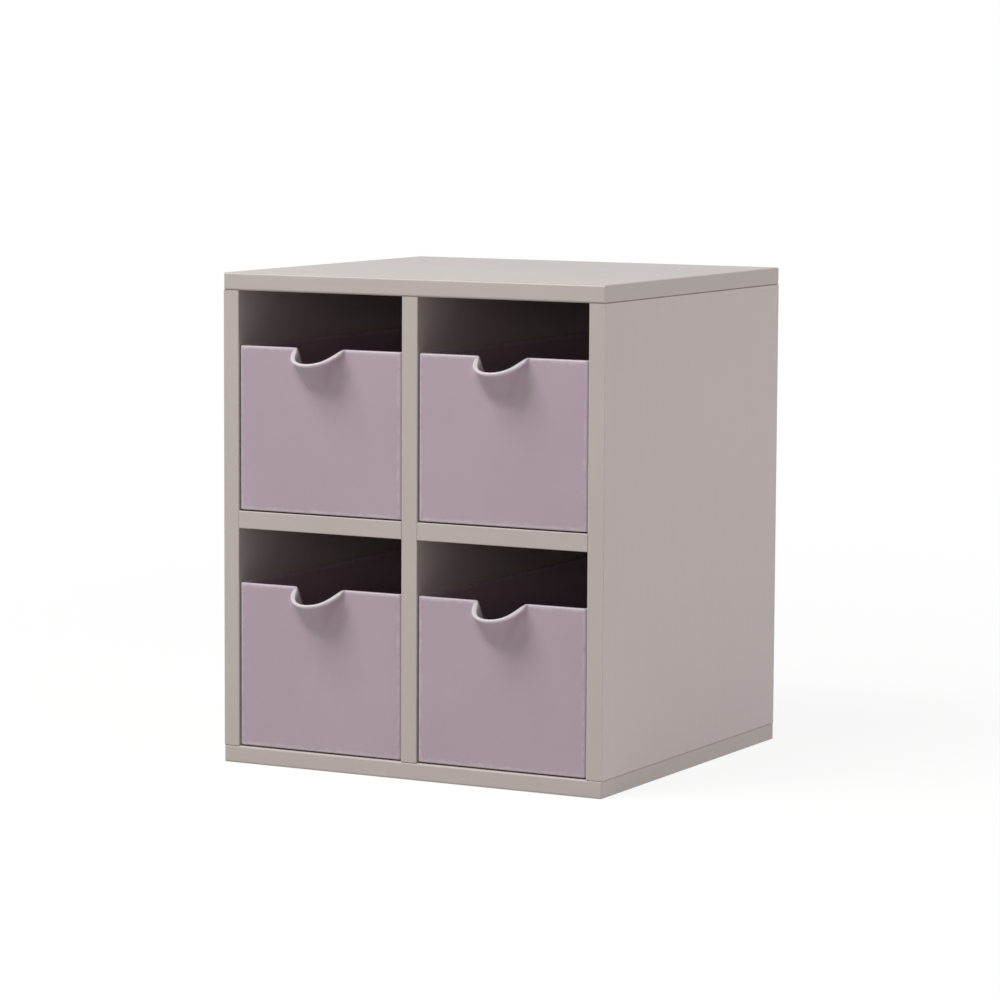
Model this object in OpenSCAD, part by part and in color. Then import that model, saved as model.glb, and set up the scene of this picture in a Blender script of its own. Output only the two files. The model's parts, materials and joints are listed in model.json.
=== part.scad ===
// Desktop cabinet with four small pull-out drawers.
// Painted boards meet in dowelled butt joints. Each drawer is a thin moulded bin whose front wall
// is drawn out into a half-cone pull. Millimetres, +Z up, the drawers open towards -Y, and the
// origin is the centre of the cabinet's underside.

/* [Cabinet] */
// Overall width of the boards
cabinet_w = 290; // [240:1:420]
// Depth of the boards, without the pulls
cabinet_d = 272; // [200:1:400]
// Overall height
cabinet_h = 336; // [260:1:480]
// Thickness of every board
board_t = 12; // [10:0.5:18]
// Radius that eases every edge of the top and bottom boards
panel_ease = 1.5; // [0.4:0.1:2.5]
// Radius that eases the long edges of the uprights and the shelves
edge_ease = 0.7; // [0.4:0.1:2]

/* [Back panel] */
// Thickness of the back panel, and depth of the rabbet that holds it
back_t = 3; // [2.5:0.5:5]
// How far the back panel laps over each board
back_lap = 6; // [5:0.5:7]
// Gap round the back panel in its rabbet
back_gap = 0.3; // [0.1:0.1:0.8]

/* [Dowels] */
// Diameter of the dowels
dowel_d = 6; // [4:0.5:7]
// How deep a dowel goes into the face of a board
dowel_in_face = 8; // [5:0.5:8.5]
// How deep a dowel goes into the edge of a board
dowel_in_edge = 20; // [12:1:30]
// Radial room for glue round a dowel
dowel_room = 0.05; // [0.02:0.01:0.15]
// Chamfer on each end of a dowel
dowel_chamfer = 0.8; // [0.3:0.1:1.2]
// Dowels in each joint
dowels_per_joint = 3; // [2:1:5]
// Distance from a board's front or back edge to its nearest dowel
dowel_inset = 36; // [24:1:60]

/* [Back screws] */
// Shank diameter of the back panel's screws
screw_d = 3; // [2.5:0.1:3.5]
// Diameter of the countersunk head
screw_head_d = 5.6; // [5:0.1:6.5]
// Length of a screw, head included
screw_l = 14; // [10:1:20]
// Radial room round a screw
screw_room = 0.05; // [0.02:0.01:0.15]

/* [Drawers] */
// Height of a drawer from the underside of its floor to its rim
drawer_h = 111.9; // [80:0.1:120]
// Thickness of the drawer walls
wall_t = 2.2; // [1.6:0.1:3]
// Thickness of the drawer floor
floor_t = 2.4; // [1.6:0.1:4]
// Outer radius of a drawer's upright corners, a little more than the wall thickness
corner_r = 2.4; // [2.4:0.1:8]
// Outer radius where the walls bend into the floor
bend_r = 1; // [0.6:0.1:2]
// Gap between a drawer and the board at each side
side_gap = 0.5; // [0.3:0.1:2]
// How far a drawer front stands back from the front edges of the boards
set_back = 0.6; // [0:0.1:6]
// Gap between a shut drawer and the back panel
rear_gap = 1; // [0.4:0.1:4]
// Height of the runner ribs under a drawer
rib_h = 0.6; // [0.4:0.1:2]
// Width of a runner rib
rib_w = 5; // [3:0.5:10]
// Distance from a drawer's side to the middle of a runner rib
rib_inset = 16; // [12:1:26]
// Running gap between the ribs and the board under them
run_gap = 0.3; // [0.1:0.1:0.6]

/* [Pull] */
// Distance from the pull's middle to its side, at the height of the rim
pull_half_w = 20.5; // [14:0.5:28]
// How far the pull's lip stands out in front of the drawer
pull_reach = 21; // [12:0.5:28]
// Depth from the rim down to the pull's tip
pull_depth = 36; // [30:1:60]
// How far the pull's lip dips at its middle
pull_dip = 9.6; // [4:0.2:16]

/* [Hidden] */
$fn = 96;
EPS = 0.01;
front_y = -cabinet_d / 2;
rear_y = cabinet_d / 2;
inner_h = cabinet_h - 2 * board_t;
shelf_z = cabinet_h / 2 - board_t / 2;
bay_w = (cabinet_w - 3 * board_t) / 2;
bay_x = (bay_w + board_t) / 2;
side_x = (cabinet_w - board_t) / 2;
dowel_hole_end = 0.5;
screw_cone_h = (screw_head_d - screw_d) / 2;
screw_tip_room = 0.5;

drawer_w = bay_w - 2 * side_gap;
drawer_front_y = front_y + set_back;
drawer_d = cabinet_d - set_back - back_t - rear_gap;
drawer_lift = run_gap + rib_h;

// The pull is a leaning cone with its tip on the front face. The line down its middle and the two
// lines where it meets the face fix its lean and its half angle.
pull_front_angle = atan(pull_reach / (pull_depth - pull_dip));
pull_side_angle = atan(pull_half_w / pull_depth);
pull_lean = atan((cos(pull_side_angle) - cos(pull_front_angle)) / sin(pull_front_angle));
pull_half_angle = pull_front_angle - pull_lean;

// Where the dowels of one joint stand along the depth of the boards
dowel_rows_y = [
    for (i = [0:dowels_per_joint - 1])
        front_y + dowel_inset + i * (cabinet_d - 2 * dowel_inset) / (dowels_per_joint - 1)
];

// Middle of the back panel's lap, measured in from a board's outer face
lap_mid = board_t - back_lap / 2;
screw_x = cabinet_w / 4;
screw_z = cabinet_h / 4;
// Where the back screws go, as [x, z]
screw_spots = concat(
    [for (x = [-screw_x, screw_x], z = [lap_mid, cabinet_h / 2, cabinet_h - lap_mid]) [x, z]],
    [for (x = [lap_mid - cabinet_w / 2, 0, cabinet_w / 2 - lap_mid], z = [screw_z, cabinet_h - screw_z])
        [x, z]]
);

// ---- shapes that repeat ----

// Rectangle with its corner on the origin and its corners rounded
module eased_rectangle(w, h, ease) {
    difference() {
        square([w, h]);
        for (x = [0, w], y = [0, h])
            translate([x, y])
                rotate(x == 0 ? (y == 0 ? 0 : -90) : (y == 0 ? 90 : 180))
                    difference() {
                        translate([-ease, -ease])
                            square(2 * ease);
                        translate([ease, ease])
                            circle(ease);
                    }
    }
}

// Bar along +Z with its long edges eased
module bar_up(size, ease) {
    linear_extrude(size.z)
        eased_rectangle(size.x, size.y, ease);
}

// Bar along +X with its long edges eased
module bar_across(size, ease) {
    rotate([90, 0, 90])
        linear_extrude(size.x)
            eased_rectangle(size.y, size.z, ease);
}

// Board with all its edges eased
module eased_board(size, ease) {
    intersection() {
        bar_up(size, ease);
        bar_across(size, ease);
        translate([0, size.y, 0])
            rotate([90, 0, 0])
                linear_extrude(size.y)
                    eased_rectangle(size.x, size.z, ease);
    }
}

// Dowel along +Z with its middle part between two depths and both ends chamfered
module dowel(below, above) {
    r = dowel_d / 2;
    translate([0, 0, -below]) {
        cylinder(h = dowel_chamfer, r1 = r - dowel_chamfer, r2 = r);
        translate([0, 0, dowel_chamfer])
            cylinder(h = below + above - 2 * dowel_chamfer, r = r);
        translate([0, 0, below + above - dowel_chamfer])
            cylinder(h = dowel_chamfer, r1 = r, r2 = r - dowel_chamfer);
    }
}

// Hole for a dowel, a little longer than the dowel at both ends
module dowel_hole(below, above) {
    translate([0, 0, -below - dowel_hole_end])
        cylinder(h = below + above + 2 * dowel_hole_end, r = dowel_d / 2 + dowel_room);
}

// The dowels or holes of an upright joint whose faces meet at height z, edge below the face
module top_joint(x) {
    for (y = dowel_rows_y)
        translate([x, y, cabinet_h - board_t])
            children();
}

module bottom_joint(x) {
    for (y = dowel_rows_y)
        translate([x, y, board_t])
            rotate([180, 0, 0])
                children();
}

// The dowels or holes of a shelf joint, along X through the plane at x, turned so that +Z is outward
module shelf_joint(x, outward) {
    for (y = dowel_rows_y)
        translate([x, y, cabinet_h / 2])
            rotate([0, outward * 90, 0])
                children();
}

module shelf_holes() {
    for (side = [-1, 1])
        shelf_joint(side * (cabinet_w / 2 - board_t), side)
            dowel_hole(dowel_in_edge, dowel_in_face);
    shelf_joint(-board_t / 2, 1)
        dowel_hole(dowel_in_edge, board_t + dowel_in_edge);
}

// Countersunk screw whose head is flush with the back, pointing towards -Y
module screw(room) {
    rotate([90, 0, 0]) {
        cylinder(h = screw_cone_h, r1 = screw_head_d / 2 + room, r2 = screw_d / 2 + room);
        cylinder(h = screw_l + (room > 0 ? screw_tip_room : 0), r = screw_d / 2 + room);
    }
}

module at_screw_spots() {
    for (spot = screw_spots)
        translate([spot[0], rear_y, spot[1]])
            children();
}

// Space that the back panel takes, grown by a margin on its four edges
module back_space(margin) {
    w = cabinet_w - 2 * (board_t - back_lap);
    h = cabinet_h - 2 * (board_t - back_lap);
    translate([-w / 2 - margin, rear_y - back_t, board_t - back_lap - margin])
        cube([w + 2 * margin, back_t + (margin < 0 ? 0 : EPS), h + 2 * margin]);
}

// ---- boards ----

module painted_wood() {
    color([0.71, 0.675, 0.65])
        children();
}

module long_panel(z) {
    painted_wood()
        difference() {
            translate([-cabinet_w / 2, front_y, z])
                eased_board([cabinet_w, cabinet_d, board_t], panel_ease);
            for (x = [-side_x, 0, side_x])
                if (z > 0)
                    top_joint(x) dowel_hole(dowel_in_edge, dowel_in_face);
                else
                    bottom_joint(x) dowel_hole(dowel_in_edge, dowel_in_face);
            back_space(0);
            at_screw_spots() screw(screw_room);
        }
}

module top_panel() {
    long_panel(cabinet_h - board_t);
}

module bottom_panel() {
    long_panel(0);
}

module upright(x, depth) {
    painted_wood()
        difference() {
            translate([x - board_t / 2, front_y, board_t])
                bar_up([board_t, depth, inner_h], edge_ease);
            top_joint(x) dowel_hole(dowel_in_edge, dowel_in_face);
            bottom_joint(x) dowel_hole(dowel_in_edge, dowel_in_face);
            shelf_holes();
            back_space(0);
            at_screw_spots() screw(screw_room);
        }
}

module left_side_panel() {
    upright(-side_x, cabinet_d);
}

module right_side_panel() {
    upright(side_x, cabinet_d);
}

module centre_divider() {
    upright(0, cabinet_d - back_t);
}

module shelf(side) {
    painted_wood()
        difference() {
            translate([side * bay_x - bay_w / 2, front_y, shelf_z])
                bar_across([bay_w, cabinet_d - back_t, board_t], edge_ease);
            shelf_holes();
            at_screw_spots() screw(screw_room);
        }
}

module left_shelf() {
    shelf(-1);
}

module right_shelf() {
    shelf(1);
}

module back_panel() {
    color([0.66, 0.62, 0.59])
        difference() {
            back_space(-back_gap);
            at_screw_spots() screw(screw_room);
        }
}

// ---- fasteners ----

module back_panel_screws() {
    color([0.72, 0.72, 0.7])
        at_screw_spots() screw(0);
}

module beech() {
    color([0.82, 0.68, 0.5])
        children();
}

module top_left_dowels() {
    beech() top_joint(-side_x) dowel(dowel_in_edge, dowel_in_face);
}

module top_middle_dowels() {
    beech() top_joint(0) dowel(dowel_in_edge, dowel_in_face);
}

module top_right_dowels() {
    beech() top_joint(side_x) dowel(dowel_in_edge, dowel_in_face);
}

module bottom_left_dowels() {
    beech() bottom_joint(-side_x) dowel(dowel_in_edge, dowel_in_face);
}

module bottom_middle_dowels() {
    beech() bottom_joint(0) dowel(dowel_in_edge, dowel_in_face);
}

module bottom_right_dowels() {
    beech() bottom_joint(side_x) dowel(dowel_in_edge, dowel_in_face);
}

module left_shelf_dowels() {
    beech() shelf_joint(board_t - cabinet_w / 2, -1) dowel(dowel_in_edge, dowel_in_face);
}

module middle_shelf_dowels() {
    beech() shelf_joint(-board_t / 2, 1) dowel(dowel_in_edge, board_t + dowel_in_edge);
}

module right_shelf_dowels() {
    beech() shelf_joint(cabinet_w / 2 - board_t, 1) dowel(dowel_in_edge, dowel_in_face);
}

// ---- drawers ----

// Section through a drawer wall. X runs inward from the outer face and Y up from the underside:
// a bend at the foot, the edge of the floor, a straight wall and a full round rim.
module wall_section() {
    translate([0, bend_r])
        square([wall_t, drawer_h - bend_r - wall_t / 2]);
    translate([bend_r, 0])
        square([corner_r - bend_r, floor_t]);
    translate([wall_t / 2, drawer_h - wall_t / 2])
        circle(wall_t / 2);
    intersection() {
        translate([bend_r, bend_r])
            circle(bend_r);
        square(bend_r);
    }
}

// The wall section swept round a rounded rectangle, outer corner at the origin
module drawer_walls() {
    $fn = 64;
    straight_x = drawer_w - 2 * corner_r;
    straight_y = drawer_d - 2 * corner_r;
    corners = [
        [corner_r, corner_r, 180], [drawer_w - corner_r, corner_r, 270],
        [drawer_w - corner_r, drawer_d - corner_r, 0], [corner_r, drawer_d - corner_r, 90]
    ];
    for (c = corners)
        translate([c[0], c[1], 0])
            rotate(c[2])
                rotate_extrude(angle = 90)
                    translate([corner_r, 0])
                        mirror([1, 0])
                            wall_section();
    for (turn = [0, 1]) {
        translate(turn == 0 ? [corner_r, 0, 0] : [drawer_w - corner_r, drawer_d, 0])
            rotate(turn * 180)
                rotate([90, 0, 90])
                    linear_extrude(straight_x)
                        wall_section();
        translate(turn == 0 ? [drawer_w, corner_r, 0] : [0, drawer_d - corner_r, 0])
            rotate(90 + turn * 180)
                rotate([90, 0, 90])
                    linear_extrude(straight_y)
                        wall_section();
    }
}

// Leaning cone with its tip down on the plane of the front face, inset from the pull's outside.
// It ends above the rim, where it is cut off or open.
module pull_cone(inset) {
    length = 1.5 * pull_depth;
    translate([drawer_w / 2, 0, drawer_h - pull_depth])
        rotate([pull_lean, 0, 0])
            translate([0, 0, inset / sin(pull_half_angle)])
                cylinder(h = length, r1 = 0, r2 = length * tan(pull_half_angle));
}

// Part of the cone that stands out of the front wall, its lip cut on a slant that dips to the middle
module pull_shell() {
    size = 3 * pull_depth;
    difference() {
        intersection() {
            pull_cone(0);
            translate([drawer_w / 2 - size / 2, -size, 0])
                cube([size, size + wall_t / 2, drawer_h]);
        }
        translate([drawer_w / 2 - size / 2, 0, drawer_h])
            rotate([atan(pull_dip / pull_reach), 0, 0])
                translate([0, -size, 0])
                    cube([size, size, size]);
    }
}

// One drawer with its front left bottom corner at the origin
module drawer_bin() {
    difference() {
        union() {
            drawer_walls();
            translate([corner_r, corner_r, 0])
                cube([drawer_w - 2 * corner_r, drawer_d - 2 * corner_r, floor_t]);
            pull_shell();
            for (x = [rib_inset, drawer_w - rib_inset])
                runner_rib(x);
        }
        pull_cone(wall_t);
    }
}

// Low rib with round ends that the drawer slides on
module runner_rib(x) {
    ends = [2 * rib_w, drawer_d - 2 * rib_w];
    translate([x, 0, -rib_h])
        linear_extrude(rib_h + EPS) {
            translate([-rib_w / 2, ends[0]])
                square([rib_w, ends[1] - ends[0]]);
            for (y = ends)
                translate([0, y])
                    circle(rib_w / 2);
        }
}

module drawer(side, floor_z) {
    color([0.68, 0.62, 0.65])
        translate([side * bay_x - drawer_w / 2, drawer_front_y, floor_z + drawer_lift])
            drawer_bin();
}

module upper_left_drawer() {
    drawer(-1, shelf_z + board_t);
}

module upper_right_drawer() {
    drawer(1, shelf_z + board_t);
}

module lower_left_drawer() {
    drawer(-1, board_t);
}

module lower_right_drawer() {
    drawer(1, board_t);
}

top_panel();
bottom_panel();
left_side_panel();
right_side_panel();
centre_divider();
left_shelf();
right_shelf();
back_panel();
back_panel_screws();
top_left_dowels();
top_middle_dowels();
top_right_dowels();
bottom_left_dowels();
bottom_middle_dowels();
bottom_right_dowels();
left_shelf_dowels();
middle_shelf_dowels();
right_shelf_dowels();
upper_left_drawer();
upper_right_drawer();
lower_left_drawer();
lower_right_drawer();
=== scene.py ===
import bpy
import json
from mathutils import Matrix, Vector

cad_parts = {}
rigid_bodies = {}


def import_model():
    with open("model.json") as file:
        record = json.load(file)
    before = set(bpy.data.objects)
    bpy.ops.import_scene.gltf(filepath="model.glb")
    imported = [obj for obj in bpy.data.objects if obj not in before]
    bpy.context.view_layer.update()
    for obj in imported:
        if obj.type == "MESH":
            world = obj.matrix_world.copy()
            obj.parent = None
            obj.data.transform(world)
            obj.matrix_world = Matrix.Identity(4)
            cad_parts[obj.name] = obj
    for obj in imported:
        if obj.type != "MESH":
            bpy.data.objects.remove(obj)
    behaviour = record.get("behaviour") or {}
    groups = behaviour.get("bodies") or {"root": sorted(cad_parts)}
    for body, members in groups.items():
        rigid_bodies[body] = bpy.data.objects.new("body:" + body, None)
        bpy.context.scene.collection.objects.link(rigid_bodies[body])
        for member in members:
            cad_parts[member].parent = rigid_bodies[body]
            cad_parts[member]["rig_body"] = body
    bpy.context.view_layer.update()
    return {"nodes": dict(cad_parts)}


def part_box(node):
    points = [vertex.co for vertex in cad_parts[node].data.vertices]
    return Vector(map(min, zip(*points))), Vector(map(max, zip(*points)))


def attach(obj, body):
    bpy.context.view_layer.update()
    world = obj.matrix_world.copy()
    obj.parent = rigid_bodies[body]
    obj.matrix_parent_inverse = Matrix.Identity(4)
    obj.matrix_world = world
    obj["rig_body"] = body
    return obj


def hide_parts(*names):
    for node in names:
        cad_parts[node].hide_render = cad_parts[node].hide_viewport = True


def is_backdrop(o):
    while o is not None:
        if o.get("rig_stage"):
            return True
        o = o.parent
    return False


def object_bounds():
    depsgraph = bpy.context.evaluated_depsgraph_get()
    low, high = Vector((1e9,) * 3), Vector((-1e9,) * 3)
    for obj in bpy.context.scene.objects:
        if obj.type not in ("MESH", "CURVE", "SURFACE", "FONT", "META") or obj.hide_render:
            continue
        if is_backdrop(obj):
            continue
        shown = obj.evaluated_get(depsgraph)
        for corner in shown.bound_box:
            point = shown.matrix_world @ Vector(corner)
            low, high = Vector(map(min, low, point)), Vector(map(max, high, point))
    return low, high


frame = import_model()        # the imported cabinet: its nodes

import json
import math

import bmesh
import bpy
from mathutils import Matrix, Vector

bl_info = {
    "name": "Desktop Mini Drawers",
    "version": (1, 0, 0),
    "blender": (4, 5, 0),
    "location": "3D View > Sidebar > Mini Drawers",
    "description": "Dresses a desktop cabinet: painted boards, moulded drawers, back screws and stage",
    "category": "Object",
}

MM = 0.001

BOARDS = {
    "top_panel": "X", "bottom_panel": "X", "left_side_panel": "Z", "right_side_panel": "Z",
    "centre_divider": "Z", "left_shelf": "X", "right_shelf": "X",
}
DOWELS = {
    "top_left_dowels": "Z", "top_middle_dowels": "Z", "top_right_dowels": "Z",
    "bottom_left_dowels": "Z", "bottom_middle_dowels": "Z", "bottom_right_dowels": "Z",
    "left_shelf_dowels": "X", "middle_shelf_dowels": "X", "right_shelf_dowels": "X",
}
DRAWERS = ("upper_left_drawer", "upper_right_drawer", "lower_left_drawer", "lower_right_drawer")

PAINT_IOR, WOOD_IOR, PLASTIC_IOR = 1.46, 1.45, 1.49
FACING = 0.9    # a face looks along an axis when this much of its normal does

# Each lamp: its name, its place, its size, its tint, and the stage setting with its power
LAMPS = (
    ("key_lamp", (-0.84, -1.29, 2.14), 1.4, (0.975, 1.0, 1.0), "key"),
    ("fill_lamp", (2.41, 0.51, 0.6), 1.4, (1.0, 0.965, 1.03), "fill"),
    ("front_lamp", (1.1, -2.4, 0.5), 0.5, (1.16, 0.97, 1.02), "front"),
)


def shown(red, green, blue):
    """A colour as it shows on screen, 0 to 255, as the linear colour that a shader takes."""
    levels = [value / 255 for value in (red, green, blue)]
    return tuple(v / 12.92 if v < 0.04045 else ((v + 0.055) / 1.055) ** 2.4 for v in levels)


# ---- sizes and colours that a user would change ----

def colour_property(name, description, default):
    return bpy.props.FloatVectorProperty(
        name=name, description=description, subtype="COLOR", size=3, min=0, max=1, default=default)


def length_property(name, description, default, low, high):
    return bpy.props.FloatProperty(
        name=name, description=description, unit="LENGTH", precision=5,
        default=default * MM, min=low * MM, max=high * MM)


def share_property(name, description, default):
    return bpy.props.FloatProperty(
        name=name, description=description, subtype="FACTOR", min=0, max=1, default=default)


def power_property(name, description, default):
    return bpy.props.FloatProperty(
        name=name, description=f"{description}, in watts", min=0, max=1000, default=default)


def angle_property(name, description, default):
    return bpy.props.FloatProperty(
        name=name, description=description, subtype="ANGLE", unit="ROTATION",
        default=math.radians(default), min=-math.pi, max=math.pi)


class BoardFinish(bpy.types.PropertyGroup):
    paint: colour_property("Paint", "Greige paint of the boards", shown(188, 178, 173))
    # Rubbed edge colour: wear, and along the board edges also a painted highlight
    rubbed: colour_property("Rubbed and highlighted edge", "Paint where hands have rubbed an edge, also painted along edges as a highlight", shown(201, 194, 188))
    shadowed: colour_property("Streak", "Paint over the darker grain", shown(174, 165, 158))
    streak_depth: share_property("Streak depth", "How strongly the grain shows through the paint", 0.12)
    end_depth: share_property("End grain depth", "How much darker the ends of a board are", 0.85)
    streak_width: length_property("Streak width", "Spacing of the grain across a board", 3.2, 0.5, 20)
    streak_length: length_property("Streak length", "Spacing of the grain along a board", 85, 5, 400)
    edge_width: length_property("Edge wear and highlight width", "How far the rubbed edge reaches", 1.5, 0.2, 8)
    # Edge wear: the edges painted paler, partly wear and partly a painted highlight of light on the
    # eased edges
    edge_wear_and_highlight: share_property("Edge wear and highlight", "How strongly the edges are painted pale, as wear and painted highlight", 0.08)
    roughness: share_property("Roughness", "Roughness of the paint", 0.33)
    back_paint: colour_property("Back panel", "Paint of the thin back panel", shown(172, 163, 157))
    dowel_wood: colour_property("Dowel wood", "Beech of the dowels", shown(214, 184, 143))


class DrawerShape(bpy.types.PropertyGroup):
    wall: length_property("Wall", "Thickness of the drawer walls", 2.2, 1, 4)
    floor: length_property("Floor", "Thickness of the drawer floor", 2.4, 1, 5)
    set_back: length_property("Set back", "How far a drawer front stands behind the boards", 0.6, 0, 6)
    corner: length_property("Corner radius", "Outer radius of the upright corners", 2.4, 1, 8)
    bend: length_property("Bend radius", "Outer radius where walls turn into the floor", 1, 0.3, 6)
    inner_bend: length_property("Inner bend", "Radius inside, where walls meet the floor", 1.4, 0.3, 6)
    pull_half_width: length_property(
        "Pull half width", "From the pull's middle to its side at the rim", 19.9, 8, 30)
    pull_reach: length_property("Pull reach", "How far the lip stands out in front", 21, 6, 30)
    pull_depth: length_property("Pull depth", "Depth of the pull's tip below the rim", 31, 20, 60)
    pull_dip: length_property("Lip dip", "How far the lip dips at its middle", 9.9, 2, 16)
    taper: share_property("Taper", "How soon the pull narrows downward: at 1 it's a cone", 0.45)
    tip_blend: share_property("Tip blend", "Share of the pull's depth in which its tip runs out", 0.14)
    tuck: share_property("Tuck", "How much the hollow of the pull draws in at its foot", 0.3)
    crease: length_property("Crease", "Fillet between the pull and the front, at the rim", 0.9, 0.2, 8)
    low_crease: length_property("Low crease", "The same fillet, near the pull's tip", 15, 1, 40)
    rim_round: length_property("Rim rounding", "Radius of the rim's outer edge", 1.2, 0.2, 1.6)
    rim_inner_round: length_property("Inner rounding", "Radius of the rim's inner edge", 0.5, 0.2, 1)
    rib_height: length_property("Rib height", "Height of the runner ribs", 0.6, 0.4, 3)
    rib_width: length_property("Rib width", "Width of a runner rib", 5, 2, 12)
    rib_inset: length_property("Rib inset", "From a drawer's side to the middle of a rib", 16, 8, 30)


class DrawerFinish(bpy.types.PropertyGroup):
    plastic: colour_property("Plastic", "Lilac of the drawers", shown(179, 160, 171))
    deep: colour_property(
        "Deeper tone", "Lilac where the moulding is a little denser", shown(172, 152, 163))
    # Pale lilac: a painted highlight on the rims and lips, and wear with painted highlight along other
    # edges
    pale: colour_property("Pale tone", "Pale lilac of the painted highlight on rims and lips, and of worn, highlighted edges", shown(222, 213, 217))
    # Edge wear: the box edges painted paler, partly wear and partly a painted highlight
    edge_wear_and_highlight: share_property("Edge wear and highlight", "How pale a drawer's other edges are painted, as wear and painted highlight", 0.28)
    edge_width: length_property(
        "Edge wear and highlight width", "How far the wear reaches in from an edge", 3.4, 0.2, 8)
    # Rim and lip wear: painted highlights, pale where light from above catches the rounded rim and the
    # lip
    rim_highlight: share_property("Rim highlight", "How pale the rims are painted, as a painted highlight", 0.1)
    lip_highlight: share_property("Lip highlight", "How pale the lips of the pulls are painted, as a painted highlight", 0.9)
    rim_highlight_width: length_property("Width of rim highlight", "How far down the rim's painted highlight reaches", 2.4, 0.2, 6)
    roughness: share_property("Roughness", "Roughness of the moulded plastic", 0.4)
    texture: length_property("Texture size", "Size of the moulded surface texture", 0.7, 0.1, 5)


class ScrewShape(bpy.types.PropertyGroup):
    head: length_property("Head", "Diameter of a screw's head", 5.6, 3, 10)
    shank: length_property("Shank", "Diameter of a screw's shank", 3, 1.5, 6)
    length: length_property("Length", "Length of a screw", 14, 6, 30)
    cross: length_property("Cross width", "Length of each arm pair of the cross recess", 3, 1, 6)
    slot: length_property("Cross slot", "Width of each arm of the cross recess", 0.62, 0.2, 2)
    steel: colour_property("Steel", "Zinc coat of the screws", shown(196, 196, 190))


class StageSettings(bpy.types.PropertyGroup):
    yaw: angle_property("Camera yaw", "How far the camera stands round to the right", 28.097)
    pitch: angle_property("Camera pitch", "How far the camera looks down", 6.234)
    roll: angle_property("Camera roll", "How far the camera leans", 0.299)
    distance: bpy.props.FloatProperty(
        name="Camera distance", description="From the camera to the cabinet's middle",
        unit="LENGTH", min=0.5, max=10, default=2.7797)
    aim_right: length_property("Aim right", "Aim point right of the middle", -3.62, -100, 100)
    aim_up: length_property("Aim up", "Aim point above the middle", 7.92, -100, 100)
    lens: bpy.props.FloatProperty(
        name="Focal length", description="Focal length on a 36 mm sensor, in millimetres",
        min=20, max=300, default=143.95)
    floor: colour_property("Floor", "Pale floor", shown(193, 192, 190))
    world: bpy.props.FloatProperty(
        name="Room light", description="Strength of the even light from all round",
        min=0, max=3, default=0.35)
    gloss_room: share_property(
        "Room in gloss", "How bright the white room shows in glossy surfaces", 0.8)
    floor_white: share_property(
        "Floor glow", "How much of the floor's own white shows beside its shading", 0.75)
    key: power_property("Key light", "Power of the large light above the left front", 49)
    fill: power_property("Fill light", "Power of the light at the right", 21.5)
    front: power_property("Front light", "Power of the weak light beside the camera", 3.3)


class MiniDrawersSettings(bpy.types.PropertyGroup):
    boards: bpy.props.PointerProperty(type=BoardFinish)
    drawer: bpy.props.PointerProperty(type=DrawerShape)
    plastic: bpy.props.PointerProperty(type=DrawerFinish)
    screws: bpy.props.PointerProperty(type=ScrewShape)
    stage: bpy.props.PointerProperty(type=StageSettings)


def settings():
    return bpy.context.scene.mini_drawers


# ---- node trees ----

class Tree:
    """Short ways to add and join nodes in one node tree."""

    # Sockets of a Mix node, which has a set of them for each kind of value
    MIX_SHARE, MIX_NUMBERS, MIX_COLOURS = 0, (2, 3), (6, 7)
    MIX_NUMBER_OUT, MIX_COLOUR_OUT = 0, 2

    def __init__(self, tree):
        self.tree = tree
        self.tree.nodes.clear()

    def feed(self, socket, value):
        """Feed a socket from another one, or set it to a number or a colour."""
        if isinstance(value, bpy.types.NodeSocket):
            self.tree.links.new(value, socket)
        else:
            socket.default_value = value

    def add(self, kind, inputs=None, **values):
        """A node with its options and its inputs; an input is a number, a colour or another socket."""
        node = self.tree.nodes.new(kind)
        for name, value in values.items():
            setattr(node, name, value)
        for name, value in (inputs or {}).items():
            self.feed(node.inputs[name], value)
        return node

    def math(self, operation, first, second=0.0):
        return self.add("ShaderNodeMath", {0: first, 1: second}, operation=operation).outputs[0]

    def part(self, share, value):
        """A share of a value or mask."""
        return self.math("MULTIPLY", share, value)

    def vector(self, operation, first, second):
        return self.add("ShaderNodeVectorMath", {0: first, 1: second}, operation=operation).outputs[0]

    def noise(self, place, scale, detail, roughness, distortion=0.0):
        return self.add("ShaderNodeTexNoise", {
            "Vector": place, "Scale": scale, "Detail": detail, "Roughness": roughness,
            "Distortion": distortion}).outputs[0]

    def remap(self, value, low, high, to_low=0.0, to_high=1.0, smooth=False):
        return self.add("ShaderNodeMapRange", {
            "Value": value, "From Min": low, "From Max": high, "To Min": to_low, "To Max": to_high},
            interpolation_type="SMOOTHSTEP" if smooth else "LINEAR").outputs[0]

    def blend(self, share, first, second):
        """Mix two colours, each a socket or a red, green and blue."""
        inputs = {self.MIX_SHARE: share}
        for socket, colour in zip(self.MIX_COLOURS, (first, second)):
            inputs[socket] = colour if isinstance(colour, bpy.types.NodeSocket) else (*colour, 1)
        return self.add("ShaderNodeMix", inputs, data_type="RGBA").outputs[self.MIX_COLOUR_OUT]

    def blend_numbers(self, share, first, second):
        low, high = self.MIX_NUMBERS
        node = self.add("ShaderNodeMix", {self.MIX_SHARE: share, low: first, high: second})
        return node.outputs[self.MIX_NUMBER_OUT]

    def place(self):
        return self.add("ShaderNodeTexCoord").outputs["Object"]


def group(name, inputs, outputs):
    """A shader node group with named sockets, and its Tree, input sockets and output node."""
    made = bpy.data.node_groups.new(name, "ShaderNodeTree")
    for socket_name, kind, default in inputs:
        socket = made.interface.new_socket(name=socket_name, in_out="INPUT", socket_type=kind)
        if default is not None:
            socket.default_value = default
    for socket_name in outputs:
        made.interface.new_socket(name=socket_name, in_out="OUTPUT", socket_type="NodeSocketFloat")
    tree = Tree(made)
    return made, tree, tree.add("NodeGroupInput").outputs, tree.add("NodeGroupOutput").inputs


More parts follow.
